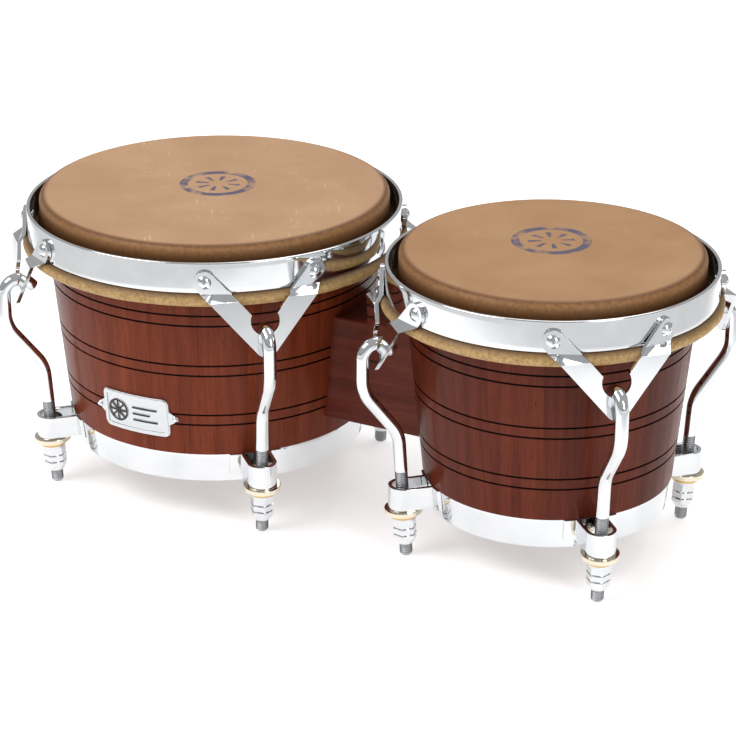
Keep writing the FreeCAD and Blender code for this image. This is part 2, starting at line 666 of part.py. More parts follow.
def block_inserts():
    """Threaded metal inserts in the block that take the bolts."""
    inserts = []
    for drum in DRUMS:
        for drop in bolt_drops():
            start = insert_start(drum, drop)
            sleeve = Part.makeCylinder(INSERT_RADIUS, INSERT_LENGTH, start, inward(drum))
            bore = Part.makeCylinder(BOLT_RADIUS + THREAD_PLAY, INSERT_LENGTH, start, inward(drum))
            inserts.append(sleeve.cut(bore))
    return Part.makeCompound(inserts)


def badge_band(start, thickness):
    """Conical skin that follows the large shell, from one height off it to another."""
    points = []
    for drop, step in ((BLOCK_TOP_DROP, 1), (RING_TOP_DROP, -1)):
        radius = HEMBRA.shell_radius(drop) + BADGE_SEAT_GAP + start
        points += [(radius, level(drop)), (radius + thickness, level(drop))][::step]
    return turned(points)


def badge_outline(inset):
    """Badge outline seen from the front, swept through the shell: a plate with a pointed ear each side."""
    middle = level(RING_TOP_DROP - BADGE_RING_GAP)
    half, tall = BADGE_WIDTH / 2 - inset, BADGE_HEIGHT / 2 - inset
    ear, reach = EAR_HEIGHT / 2, half + EAR_REACH * (inset == 0)
    places = [(half, -tall), (half, -ear), (reach, 0), (half, ear), (half, tall),
              (-half, tall), (-half, ear), (-reach, 0), (-half, -ear), (-half, -tall)]
    radii = [BADGE_CORNER - inset, 0, EAR_ROUND, 0, BADGE_CORNER - inset] * 2
    if inset:
        places = [place for place in places if abs(place[1]) == tall]
        radii = [BADGE_CORNER - inset] * 4
    points = [Vector(0, across, middle + up) for across, up in places]
    return Part.Face(Part.Wire(rounded_edges(points, radii))).extrude(Vector(HEMBRA.head, 0, 0))


def emblem():
    """Plain decoration for the badge: a ringed star of spokes, and three rules beside it."""
    middle = level(RING_TOP_DROP - BADGE_RING_GAP)
    along = Vector(1, 0, 0)
    centre = Vector(0, ROSETTE_PLACE, middle)
    disc = Part.makeCylinder(ROSETTE_RADIUS, HEMBRA.head, centre, along)
    spokes = []
    for number in range(ROSETTE_SPOKES // 2):
        bar = Part.makeBox(HEMBRA.head, 2 * ROSETTE_RADIUS, ROSETTE_LINE,
                           centre - Vector(0, ROSETTE_RADIUS, ROSETTE_LINE / 2))
        bar.rotate(centre, along, 360 * number / ROSETTE_SPOKES)
        spokes.append(bar.common(disc))
    ring = disc.cut(Part.makeCylinder(ROSETTE_RADIUS - ROSETTE_LINE, HEMBRA.head, centre, along))
    for number, length in enumerate(RULE_LENGTHS):
        rise = (1 - number) * RULE_PITCH - RULE_LINE / 2
        spokes.append(Part.makeBox(HEMBRA.head, length, RULE_LINE, Vector(0, RULE_START, middle + rise)))
    return ring.fuse(spokes)


def badge():
    """Curved maker's plate with a raised border and a plain emblem."""
    plate = badge_band(0, BADGE).common(badge_outline(0))
    border = badge_outline(BADGE_BORDER / 2).cut(badge_outline(2 * BADGE_BORDER))
    relief = badge_band(BADGE - BADGE_RELIEF, 2 * BADGE_RELIEF)
    plate = plate.fuse([relief.common(border), relief.common(emblem())]).removeSplitter()
    for offset, drop in badge_pin_places():
        point, out = badge_pin_frame(offset, drop)
        plate = plate.cut(Part.makeCylinder(PIN_RADIUS + PIN_PLAY, 4 * BADGE, point - out * BADGE, out))
    return HEMBRA.place(plate, BADGE_ANGLE)


def badge_pins():
    """Round-headed pins through the badge's ears into the shell."""
    pins = []
    for offset, drop in badge_pin_places():
        point, out = badge_pin_frame(offset, drop)
        shank_end = BADGE_SEAT_GAP + BADGE + PIN_HEAD_HEIGHT / 2
        shank = Part.makeCylinder(PIN_RADIUS, PIN_LENGTH, point + out * (shank_end - PIN_LENGTH), out)
        seat = point + out * (BADGE_SEAT_GAP + BADGE + PIN_PLAY + PIN_HEAD_RADIUS * HEMBRA.slope)
        head = Part.makeCone(PIN_HEAD_RADIUS, PIN_HEAD_RADIUS / 2, PIN_HEAD_HEIGHT, seat, out)
        pins.append(HEMBRA.place(shank.fuse(head).removeSplitter(), BADGE_ANGLE))
    return Part.makeCompound(pins)


def drum_nodes(drum):
    """Every piece of one drum by node name, without the drum's prefix."""
    nodes = {"shell": shell(drum), "head_membrane": head_membrane(drum), "head_collar": head_collar(drum),
             "flesh_hoop": flesh_hoop(drum), "rim": rim(drum), "rim_rivets": rim_rivets(drum),
             "bottom_ring": bottom_ring(drum), "pocket_floors": pocket_floors(drum),
             "nut_washers": nut_washers(drum)}
    repeated = {"lug_plate": lug_plate(drum), "hook": hook(drum), "nut": nut(drum),
                "lug_pocket": lug_pocket(drum)}
    for number, angle in enumerate(LUG_ANGLES, start=1):
        for name, shape in repeated.items():
            nodes[f"{name}_{number}"] = drum.place(shape, angle)
    return nodes


def main():
    os.makedirs("parts", exist_ok=True)
    nodes = {"center_block": center_block(), "block_bolts": block_bolts(), "block_washers": block_washers(),
             "block_inserts": block_inserts(), "hembra_badge": badge(), "hembra_badge_pins": badge_pins()}
    for drum in DRUMS:
        nodes.update({f"{drum.name}_{name}": shape for name, shape in drum_nodes(drum).items()})
    for name, shape in nodes.items():
        shape.exportStep(f"parts/{name}.step")


main()
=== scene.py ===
"""Bongo drums: the visible pieces, their finishes and the studio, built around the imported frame."""

import json
import logging
import math
from dataclasses import dataclass
from enum import Enum
from typing import Any, Mapping, Sequence

import bmesh
import bpy
from mathutils import Matrix, Vector, noise


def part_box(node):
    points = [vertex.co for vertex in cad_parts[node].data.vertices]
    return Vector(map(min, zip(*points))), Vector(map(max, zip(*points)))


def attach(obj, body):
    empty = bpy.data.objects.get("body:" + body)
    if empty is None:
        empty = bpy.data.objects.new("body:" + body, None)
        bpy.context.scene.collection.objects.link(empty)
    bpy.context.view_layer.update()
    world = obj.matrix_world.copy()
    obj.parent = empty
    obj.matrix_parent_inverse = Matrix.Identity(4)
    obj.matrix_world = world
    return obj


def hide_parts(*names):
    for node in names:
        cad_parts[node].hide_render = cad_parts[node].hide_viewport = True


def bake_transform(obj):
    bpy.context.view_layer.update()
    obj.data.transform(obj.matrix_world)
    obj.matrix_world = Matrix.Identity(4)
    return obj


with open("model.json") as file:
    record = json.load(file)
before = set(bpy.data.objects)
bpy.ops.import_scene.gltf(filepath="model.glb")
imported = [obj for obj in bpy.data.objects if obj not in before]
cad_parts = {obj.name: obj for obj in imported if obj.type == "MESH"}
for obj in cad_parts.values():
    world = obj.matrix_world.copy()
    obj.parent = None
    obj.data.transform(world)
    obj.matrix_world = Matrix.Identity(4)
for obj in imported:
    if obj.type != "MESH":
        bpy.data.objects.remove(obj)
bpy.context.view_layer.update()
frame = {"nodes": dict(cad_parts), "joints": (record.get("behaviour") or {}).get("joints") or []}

LOG = logging.getLogger("bongos")
MM = 0.001
ROOT_BODY = "drums"
LUGS = (1, 2, 3, 4)
AROUND = 256
WELD = 1e-6
FLAT = math.radians(0.5)
SHELL_PROUD = 1.0 * MM
SKIN = 1.3 * MM
HEAD_ROUND = 5.0 * MM


def linear(colour: str) -> tuple[float, float, float, float]:
    """Turn an sRGB hex colour to the linear values that a shader takes.

    Args:
        colour: The colour as "#rrggbb".

    Returns:
        Linear red, green, blue, and an alpha of one.
    """
    parts = [int(colour[i:i + 2], 16) / 255 for i in (1, 3, 5)]
    parts = [c / 12.92 if c <= 0.04045 else ((c + 0.055) / 1.055) ** 2.4 for c in parts]
    return (parts[0], parts[1], parts[2], 1.0)


def per_size(size_mm: float) -> float:
    """Give the noise scale whose features are about size_mm wide on coordinates in metres."""
    return 1000.0 / size_mm


class Graph:
    """The node tree of a new material or of the world."""

    def __init__(self, owner: bpy.types.Material | bpy.types.World) -> None:
        """Start an empty node tree on a material or world.

        Args:
            owner: The material or world that the tree belongs to.
        """
        self.owner = owner
        owner.use_nodes = True
        self.tree = owner.node_tree
        self.tree.nodes.clear()
        self.point = self.add("ShaderNodeTexCoord", output="Object")

    def add(self, kind: str, inputs: Mapping[Any, Any] | None = None, output: Any = 0,
            **settings: Any) -> Any:
        """Add a node with its settings and links.

        Args:
            kind: The node's Blender type name.
            inputs: Values or sockets by input name or number.
            output: Name or number of the output that is wanted.
            **settings: Attributes to set on the node first.

        Returns:
            The wanted output socket, or the node itself where it has no outputs.
        """
        node = self.tree.nodes.new(kind)
        for name, value in settings.items():
            setattr(node, name, value)
        for key, value in (inputs or {}).items():
            if isinstance(value, bpy.types.NodeSocket):
                self.tree.links.new(value, node.inputs[key])
            else:
                node.inputs[key].default_value = value
        return node.outputs[output] if node.outputs else node

    def finish(self, inputs: Mapping[str, Any]) -> bpy.types.Material:
        """Close the tree with a Principled shader.

        Args:
            inputs: The shader's values or sockets by name.

        Returns:
            The finished material.
        """
        shader = self.add("ShaderNodeBsdfPrincipled", inputs)
        self.add("ShaderNodeOutputMaterial", {"Surface": shader})
        return self.owner


@dataclass(frozen=True)
class PlatedSteel:
    """Steel that was plated and either buffed to a mirror or left as it came from the bath."""

    name: str
    colour: str
    gloss: float
    haze_mm: float = 22.0
    haze_spread: float = 2.2
    grit_mm: float = 0.5
    grit_depth: float = 0.0

    def build(self) -> bpy.types.Material:
        """Make the material: a bright metal whose sharpness drifts a little with handling.

        Returns:
            The finished material.
        """
        g = Graph(bpy.data.materials.new(self.name))
        haze = g.add("ShaderNodeTexNoise", {"Vector": g.point, "Scale": per_size(self.haze_mm),
                                            "Detail": 4.0})
        rough = g.add("ShaderNodeMapRange", {"Value": haze, "From Min": 0.35, "From Max": 0.72,
                                             "To Min": self.gloss, "To Max": self.gloss * self.haze_spread})
        tone = g.add("ShaderNodeMix", {0: haze, 6: linear(self.colour), 7: linear("#ffffff")}, 2,
                     data_type="RGBA", blend_type="SOFT_LIGHT")
        grit = g.add("ShaderNodeTexNoise", {"Vector": g.point, "Scale": per_size(self.grit_mm),
                                            "Detail": 2.0})
        bump = g.add("ShaderNodeBump", {"Height": grit, "Strength": 1.0, "Distance": self.grit_depth * MM})
        return g.finish({"Base Color": tone, "Metallic": 1.0, "Roughness": rough, "Normal": bump})


class Grain(Enum):
    """Which way a wooden piece's fibres run."""

    UP_THE_STAVES = "up"
    ALONG_THE_BLOCK = "along"


@dataclass(frozen=True)
class LacqueredMahogany:
    """Mahogany, turned or planed, filled and lacquered: fine streaks and short dark pores under a gloss."""

    name: str
    light: str
    dark: str
    run: Grain
    centre_x: float
    radius: float = 0.1
    cone_top: float = 0.0
    cone_slope: float = 0.0
    staves: int = 16
    seed: float = 0.0
    lacquer: float = 0.12
    figure_mm: tuple[float, float, float] = (7.0, 60.0, 110.0)
    thread_mm: tuple[float, float, float] = (0.9, 9.0, 38.0)
    pore_mm: tuple[float, float, float] = (0.55, 2.0, 7.0)
    groove: tuple[float, float] = (0.3 * MM, 0.7 * MM)
    wall_inside: tuple[float, float] = (5.0 * MM, 6.0 * MM)
    thread_depth: float = 0.04 * MM

    def _cone(self, g: Graph) -> tuple[Any, Any, Any]:
        """Work out where a point lies on the staves.

        Args:
            g: The material's graph.

        Returns:
            Fibre coordinates, a random number per stave, and the depth below the outer cone in metres.
        """
        local = g.add("ShaderNodeMapping", {"Vector": g.point, "Location": (-self.centre_x, 0.0, 0.0)})
        axes = g.add("ShaderNodeSeparateXYZ", {0: local}, "X").node
        turn = g.add("ShaderNodeMath", {0: axes.outputs["Y"], 1: axes.outputs["X"]}, operation="ARCTAN2")
        flat = g.add("ShaderNodeVectorMath", {0: local, 1: (1.0, 1.0, 0.0)}, operation="MULTIPLY")
        radius = g.add("ShaderNodeVectorMath", {0: flat}, "Value", operation="LENGTH")
        cone = g.add("ShaderNodeMath", {0: axes.outputs["Z"], 1: self.cone_slope, 2: self.cone_top},
                     operation="MULTIPLY_ADD")
        depth = g.add("ShaderNodeMath", {0: cone, 1: radius}, operation="SUBTRACT")
        stave = g.add("ShaderNodeMath", {0: turn, 1: self.staves / math.tau, 2: self.staves / 2},
                      operation="MULTIPLY_ADD")
        number = g.add("ShaderNodeMath", {0: stave, 1: self.seed}, operation="FLOOR")
        pick = g.add("ShaderNodeMath", {0: number, 1: self.seed}, operation="ADD")
        chance = g.add("ShaderNodeTexWhiteNoise", {"W": pick}, "Value", noise_dimensions="1D")
        across = g.add("ShaderNodeMath", {0: turn, 1: self.radius}, operation="MULTIPLY")
        shifted = g.add("ShaderNodeMath", {0: chance, 1: 3.0, 2: axes.outputs["Z"]}, operation="MULTIPLY_ADD")
        fibre = g.add("ShaderNodeCombineXYZ", {"X": across, "Y": radius, "Z": shifted})
        return fibre, chance, depth

    def build(self) -> bpy.types.Material:
        """Make the material: broad figure, fine fibre, pores, stave tones, dark grooves and a lacquer coat.

        Returns:
            The finished material.
        """
        g = Graph(bpy.data.materials.new(self.name))
        if self.run is Grain.UP_THE_STAVES:
            fibre, chance, depth = self._cone(g)
        else:
            turned = g.add("ShaderNodeMapping", {"Vector": g.point, "Rotation": (0.0, math.pi / 2, 0.0)})
            fibre, chance, depth = turned, 0.5, 0.0
        broad = g.add("ShaderNodeMapping", {"Vector": fibre, "Scale": tuple(map(per_size, self.figure_mm))})
        figure = g.add("ShaderNodeTexNoise", {"Vector": broad, "Scale": 1.0, "Detail": 5.0, "Roughness": 0.6,
                                              "Distortion": 0.4})
        fine = g.add("ShaderNodeMapping", {"Vector": fibre, "Scale": tuple(map(per_size, self.thread_mm))})
        thread = g.add("ShaderNodeTexNoise", {"Vector": fine, "Scale": 1.0, "Detail": 3.0, "Roughness": 0.7})
        short = g.add("ShaderNodeMapping", {"Vector": fibre, "Scale": tuple(map(per_size, self.pore_mm))})
        pores = g.add("ShaderNodeTexNoise", {"Vector": short, "Scale": 1.0, "Detail": 1.0})
        streak = g.add("ShaderNodeMapRange", {"Value": figure, "From Min": 0.3, "From Max": 0.7})
        tone = g.add("ShaderNodeMix", {0: streak, 6: linear(self.dark), 7: linear(self.light)}, 2,
                     data_type="RGBA")
        lines = g.add("ShaderNodeMapRange", {"Value": thread, "From Min": 0.35, "From Max": 0.75,
                                             "To Min": 0.8, "To Max": 1.14})
        tone = g.add("ShaderNodeVectorMath", {0: tone, 3: lines}, operation="SCALE")
        plank = g.add("ShaderNodeMapRange", {"Value": chance, "To Min": 0.82, "To Max": 1.16})
        tone = g.add("ShaderNodeVectorMath", {0: tone, 3: plank}, operation="SCALE")
        pore = g.add("ShaderNodeMapRange", {"Value": pores, "From Min": 0.62, "From Max": 0.74,
                                            "To Max": 0.45})
        tone = g.add("ShaderNodeMix", {0: pore, 6: tone, 7: linear("#1e0b07")}, 2, data_type="RGBA")
        groove = g.add("ShaderNodeMapRange", {"Value": depth, "From Min": self.groove[0],
                                              "From Max": self.groove[1]})
        tone = g.add("ShaderNodeMix", {0: groove, 6: tone, 7: linear("#120706")}, 2, data_type="RGBA")
        bare = g.add("ShaderNodeMapRange", {"Value": depth, "From Min": self.wall_inside[0],
                                            "From Max": self.wall_inside[1]})
        tone = g.add("ShaderNodeMix", {0: bare, 6: tone, 7: linear("#8a5a44")}, 2, data_type="RGBA")
        gloss = g.add("ShaderNodeMapRange", {"Value": thread, "To Min": 0.3, "To Max": 0.42})
        bump = g.add("ShaderNodeBump", {"Height": thread, "Strength": 0.5, "Distance": self.thread_depth})
        return g.finish({"Base Color": tone, "Roughness": gloss, "Normal": bump, "IOR": 1.5,
                         "Specular IOR Level": 0.08, "Coat Weight": self.lacquer, "Coat Roughness": 0.09,
                         "Coat IOR": 1.45})


@dataclass(frozen=True)
class Rawhide:
    """Dried, scraped skin: mottled and scratched on top, browner where it was pulled over the edge; the light
    and shade on its edge and just under the rim are painted.
    """

    name: str
    centre: Vector
    light: str
    dark: str
    head_radius: float
    scratches: float
    stamp: tuple[float, float]
    stamp_turn: float
    seed: float
    edge_round: float = HEAD_ROUND
    cloud_mm: float = 52.0
    fleck_mm: float = 2.4
    ring_radius: float = 21.5 * MM
    ring_half: float = 2.6 * MM
    rays: float = 8.0
    ray_middle: float = 10.0 * MM
    ray_half: float = 4.0 * MM
    worn_ink_mm: float = 13.0
    scratch_mm: tuple[float, float] = (2.2, 20.0)
    scratch_turns: tuple[float, float] = (0.75, -0.6)
    ragged: float = 2.2 * MM
    brow_span: tuple[float, float] = (1.0 * MM, 4.5 * MM)
    # Spans past the edge for the painted shade of the crest and the side, and for the change from top to
    # side.
    crest_shade_span: tuple[float, float] = (4.0 * MM, 7.5 * MM)
    side_span: tuple[float, float] = (9.0 * MM, 18.0 * MM)
    wrap_span: tuple[float, float] = (-24.0 * MM, -27.0 * MM)
    # Heights over which the painted shade under the rim fades out down the wrap.
    tuck_shade_span: tuple[float, float] = (-27.0 * MM, -30.0 * MM)
    hide_depth: float = 0.18 * MM

    def _stamp(self, g: Graph, local: Any) -> Any:
        """Draw the inked ring and its eight rays in the middle of the head.

        Args:
            g: The material's graph.
            local: Coordinates about the head's centre.

        Returns:
            How much ink lies on a point, from none to one.
        """
        placed = g.add("ShaderNodeMapping", {"Vector": local,
                                             "Location": (-self.stamp[0], -self.stamp[1], 0.0)})
        turned = g.add("ShaderNodeMapping", {"Vector": placed, "Rotation": (0.0, 0.0, self.stamp_turn),
                                             "Scale": (1.0, 1.0, 0.0)})
        away = g.add("ShaderNodeVectorMath", {0: turned}, "Value", operation="LENGTH")
        ring = g.add("ShaderNodeMath", {0: away, 1: self.ring_radius, 2: self.ring_half},
                     operation="COMPARE")
        axes = g.add("ShaderNodeSeparateXYZ", {0: turned}, "X").node
        bearing = g.add("ShaderNodeMath", {0: axes.outputs["Y"], 1: axes.outputs["X"]}, operation="ARCTAN2")
        shares = g.add("ShaderNodeMath", {0: bearing, 1: self.rays}, operation="MULTIPLY")
        wave = g.add("ShaderNodeMath", {0: shares}, operation="COSINE")
        spoke = g.add("ShaderNodeMath", {0: wave, 1: 0.55}, operation="GREATER_THAN")
        reach = g.add("ShaderNodeMath", {0: away, 1: self.ray_middle, 2: self.ray_half},
                      operation="COMPARE")
        rays = g.add("ShaderNodeMath", {0: spoke, 1: reach}, operation="MULTIPLY")
        ink = g.add("ShaderNodeMath", {0: ring, 1: rays}, operation="MAXIMUM")
        patchy = g.add("ShaderNodeTexNoise", {"Vector": turned, "Scale": per_size(self.worn_ink_mm),
                                              "Detail": 6.0})
        kept = g.add("ShaderNodeMapRange", {"Value": patchy, "From Min": 0.36, "From Max": 0.5,
                                            "To Max": 0.95})
        return g.add("ShaderNodeMath", {0: ink, 1: kept}, operation="MULTIPLY")

    def _scratches(self, g: Graph, local: Any) -> Any:
        """Lay two crossing sets of short pale scratches.

        Args:
            g: The material's graph.
            local: Coordinates about the head's centre.

        Returns:
            How strong a scratch is at a point, from none to one.
        """
        marks = 0.0
        scale = (*map(per_size, self.scratch_mm), 0.0)
        for number, turn in enumerate(self.scratch_turns):
            run = g.add("ShaderNodeMapping", {"Vector": local, "Rotation": (0.0, 0.0, turn),
                                              "Location": (self.seed + number, 0.0, 0.0)})
            stretched = g.add("ShaderNodeMapping", {"Vector": run, "Scale": scale})
            field = g.add("ShaderNodeTexNoise", {"Vector": stretched, "Scale": 1.0, "Detail": 1.0})
            mark = g.add("ShaderNodeMapRange", {"Value": field, "From Min": 0.67, "From Max": 0.74})
            marks = g.add("ShaderNodeMath", {0: marks, 1: mark}, operation="MAXIMUM")
        return g.add("ShaderNodeMath", {0: marks, 1: self.scratches}, operation="MULTIPLY")

    def _side_with_painted_shade(self, g: Graph, over: Any) -> Any:
        """Colour the skin past the shell's edge: the hide's browner colour, with painted light and shade on
        it: a dark crest line, a lighter roll, and a fall to dark brown towards the rim.

        Args:
            g: The material's graph.
            over: How far past the edge a point lies.

        Returns:
            The side's colour.
        """
        brow = self.head_radius - self.edge_round
        # Painted light and shade: the side is lighter at the top of its roll and falls to dark brown towards
        # the rim.
        fall = g.add("ShaderNodeMapRange", {"Value": over, "From Min": brow + self.side_span[0],
                                            "From Max": brow + self.side_span[1]})
        side = g.add("ShaderNodeMix", {0: fall, 6: linear("#93673b"), 7: linear("#4b2a10")}, 2,
                     data_type="RGBA")
        # Painted shade: a dark line along the crest of the edge, over the hide's browner colour.
        crest_shade = g.add("ShaderNodeMapRange", {"Value": over, "From Min": brow + self.crest_shade_span[0],
                                             "From Max": brow + self.crest_shade_span[1]})
        return g.add("ShaderNodeMix", {0: crest_shade, 6: linear("#6e4829"), 7: side}, 2, data_type="RGBA")

    def _wrap(self, g: Graph, fleck: Any, rest: Any) -> Any:
        """Colour the pale speckled hide around the hoop, with painted shade just under the rim where it tucks
        in.

        Args:
            g: The material's graph.
            fleck: The skin's fine noise.
            rest: Height below the head with the crown at rest.

        Returns:
            The wrap's colour.
        """
        speckle = g.add("ShaderNodeMapRange", {"Value": fleck, "From Min": 0.38, "From Max": 0.64})
        wrap = g.add("ShaderNodeMix", {0: speckle, 6: linear("#a17c48"), 7: linear("#c9a873")}, 2,
                     data_type="RGBA")
        # Painted shade: the wrap is dark just under the rim and pales further down.
        tuck_shade = g.add("ShaderNodeMapRange", {"Value": rest, "From Min": self.tuck_shade_span[0],
                                              "From Max": self.tuck_shade_span[1]})
        return g.add("ShaderNodeMix", {0: tuck_shade, 6: linear("#6a4e31"), 7: wrap}, 2, data_type="RGBA")

    def build(self) -> bpy.types.Material:
        """Make the material: mottle, scratches, ink, the brown side and the pale speckled wrap, with painted
        shade on the side and just under the rim.

        Returns:
            The finished material.
        """
        g = Graph(bpy.data.materials.new(self.name))
        local = g.add("ShaderNodeMapping", {"Vector": g.point, "Location": tuple(-self.centre)})
        height = g.add("ShaderNodeSeparateXYZ", {0: local}, "Z")
        cloud = g.add("ShaderNodeTexNoise", {"Vector": local, "Scale": per_size(self.cloud_mm),
                                             "Detail": 5.0, "Roughness": 0.55, "Distortion": 0.6})
        fleck = g.add("ShaderNodeTexNoise", {"Vector": local, "Scale": per_size(self.fleck_mm),
                                             "Detail": 6.0, "Roughness": 0.7})
        mottle = g.add("ShaderNodeMapRange", {"Value": cloud, "From Min": 0.32, "From Max": 0.68})
        top = g.add("ShaderNodeMix", {0: mottle, 6: linear(self.dark), 7: linear(self.light)}, 2,
                    data_type="RGBA")
        worn = g.add("ShaderNodeMapRange", {"Value": cloud, "From Min": 0.47, "From Max": 0.58})
        scratch = g.add("ShaderNodeMath", {0: self._scratches(g, local), 1: worn}, operation="MULTIPLY")
        top = g.add("ShaderNodeMix", {0: scratch, 6: top, 7: linear("#dcb890")}, 2, data_type="RGBA")
        top = g.add("ShaderNodeMix", {0: self._stamp(g, local), 6: top, 7: linear("#56536b")}, 2,
                    data_type="RGBA")
        flat = g.add("ShaderNodeVectorMath", {0: local, 1: (1.0, 1.0, 0.0)}, operation="MULTIPLY")
        radius = g.add("ShaderNodeVectorMath", {0: flat}, "Value", operation="LENGTH")
        past = g.add("ShaderNodeMath", {0: radius, 1: height}, operation="SUBTRACT")
        over = g.add("ShaderNodeMath", {0: fleck, 1: self.ragged, 2: past}, operation="MULTIPLY_ADD")
        brow = self.head_radius - self.edge_round
        edge = g.add("ShaderNodeMapRange", {"Value": over, "From Min": brow + self.brow_span[0],
                                            "From Max": brow + self.brow_span[1]})
        tone = g.add("ShaderNodeMix", {0: edge, 6: top, 7: self._side_with_painted_shade(g, over)}, 2, data_type="RGBA")
        grime = g.add("ShaderNodeMapRange", {"Value": fleck, "From Min": 0.35, "From Max": 0.65,
                                             "To Min": 0.76, "To Max": 1.2})
        grime = g.add("ShaderNodeMix", {0: edge, 2: 1.0, 3: grime})
        tone = g.add("ShaderNodeVectorMath", {0: tone, 3: grime}, operation="SCALE")
        rest = g.add("ShaderNodeAttribute", output="Fac", attribute_name="rest_height",
                     attribute_type="GEOMETRY")
        below = g.add("ShaderNodeMapRange", {"Value": rest, "From Min": self.wrap_span[0],
                                             "From Max": self.wrap_span[1]})
        tone = g.add("ShaderNodeMix", {0: below, 6: tone, 7: self._wrap(g, fleck, rest)}, 2,
                     data_type="RGBA")
        dull = g.add("ShaderNodeMapRange", {"Value": cloud, "To Min": 0.42, "To Max": 0.6})
        hide = g.add("ShaderNodeMath", {0: fleck, 1: 0.8, 2: scratch}, operation="MULTIPLY_ADD")
        bump = g.add("ShaderNodeBump", {"Height": hide, "Strength": 0.6, "Distance": self.hide_depth})
        return g.finish({"Base Color": tone, "Roughness": dull, "Normal": bump, "IOR": 1.5,
                         "Specular IOR Level": 0.4})


@dataclass(frozen=True)
class DieCastBadge:
    """Die-cast zinc, nickel plated: a satin ground, a bright border, and an emblem in black enamel."""

    name: str
    centre: Vector
    emblem: Vector
    brushed_mm: tuple[float, float, float] = (9.0, 9.0, 0.35)

    def build(self) -> bpy.types.Material:
        """Make the material: enamel inside the emblem's window where the relief stands proud.

        Returns:
            The finished material.
        """
        g = Graph(bpy.data.materials.new(self.name))
        local = g.add("ShaderNodeMapping", {"Vector": g.point, "Location": tuple(-self.centre)})
        axes = g.add("ShaderNodeSeparateXYZ", {0: local}, "X").node
        wide = g.add("ShaderNodeMath", {0: axes.outputs["X"], 1: 0.0, 2: self.emblem.x}, operation="COMPARE")
        tall = g.add("ShaderNodeMath", {0: axes.outputs["Z"], 1: 0.0, 2: self.emblem.z}, operation="COMPARE")
        proud = g.add("ShaderNodeAttribute", output="Fac", attribute_name="relief",
                      attribute_type="GEOMETRY")
        window = g.add("ShaderNodeMath", {0: wide, 1: tall}, operation="MULTIPLY")
        enamel = g.add("ShaderNodeMath", {0: window, 1: proud}, operation="MULTIPLY")
        strokes = g.add("ShaderNodeMapping", {"Vector": local,
                                              "Scale": tuple(map(per_size, self.brushed_mm))})
        brushed = g.add("ShaderNodeTexNoise", {"Vector": strokes, "Scale": 1.0, "Detail": 2.0})
        satin = g.add("ShaderNodeMapRange", {"Value": brushed, "To Min": 0.22, "To Max": 0.4})
        tone = g.add("ShaderNodeMix", {0: enamel, 6: linear("#d4d6d8"), 7: linear("#0c0c0e")}, 2,
                     data_type="RGBA")
        metal = g.add("ShaderNodeMath", {0: 1.0, 1: enamel}, operation="SUBTRACT")
        return g.finish({"Base Color": tone, "Metallic": metal, "Roughness": satin})


class Lathe:
    """A profile drawn step by step in the XZ plane, then turned about an upright axis."""

    def __init__(self, radius: float, height: float) -> None:
        """Start the profile at a radius and a height, in metres."""
        self.bm = bmesh.new()
        self.tip = self.bm.verts.new((radius, 0.0, height))

    def line_to(self, radius: float, height: float, steps: int = 1) -> "Lathe":
        """Draw a straight run to a place.

        Args:
            radius: Radius of the run's end.
            height: Height of the run's end.
            steps: Number of edges in the run.

        Returns:
            The lathe, for the next step.
        """
        start, end = self.tip.co.copy(), Vector((radius, 0.0, height))
        for step in range(1, steps + 1):
            made = bmesh.ops.extrude_vert_indiv(self.bm, verts=[self.tip])
            self.tip = made["verts"][0]
            self.tip.co = start.lerp(end, step / steps)
        return self

    def arc_about(self, radius: float, height: float, degrees: float, steps: int) -> "Lathe":
        """Swing the tip about a centre.

        Args:
            radius: Radius of the centre.
            height: Height of the centre.
            degrees: Angle of the swing, positive from outward to upward.
            steps: Number of edges in the arc.

        Returns:
            The lathe, for the next step.
        """
        centre = Vector((radius, 0.0, height))
        swing = Matrix.Rotation(-math.radians(degrees) / steps, 3, "Y")
        for _ in range(steps):
            made = bmesh.ops.extrude_vert_indiv(self.bm, verts=[self.tip])
            reach = swing @ (self.tip.co - centre)
            self.tip = made["verts"][0]
            self.tip.co = centre + reach
        return self

    def turn(self, centre_x: float, closed: bool, steps: int = AROUND) -> bmesh.types.BMesh:
        """Turn the profile into a solid.

        Args:
            centre_x: Place of the upright axis.
            closed: Whether the profile's end joins its start.
            steps: Number of segments around.

        Returns:
            The turned mesh, outward facing.
        """
        bm = self.bm
        if closed:
            bm.verts.ensure_lookup_table()
            bm.edges.new((self.tip, bm.verts[0]))
        bmesh.ops.spin(bm, geom=bm.verts[:] + bm.edges[:], cent=(0, 0, 0), axis=(0, 0, 1), angle=math.tau,
                       steps=steps, use_merge=True)
        bmesh.ops.remove_doubles(bm, verts=bm.verts[:], dist=WELD)
        bmesh.ops.recalc_face_normals(bm, faces=bm.faces[:])
        bmesh.ops.translate(bm, verts=bm.verts[:], vec=(centre_x, 0.0, 0.0))
        return bm


def mark_creases(bm: bmesh.types.BMesh, sharp: float, eased: Sequence[bmesh.types.BMFace] = ()) -> None:
    """Shade a mesh smooth between its sharp edges, and its flats flat up to their rounded edges.

    Args:
        bm: The mesh.
        sharp: Angle in degrees past which an edge stays sharp.
        eased: The faces of the rounded edges, which meet the flats at a crease.
    """
    rounded = set(eased)
    for face in bm.faces:
        face.smooth = True
    for edge in bm.edges:
        border = sum(face in rounded for face in edge.link_faces) == 1
        edge.smooth = not border and edge.calc_face_angle(0.0) < math.radians(sharp)


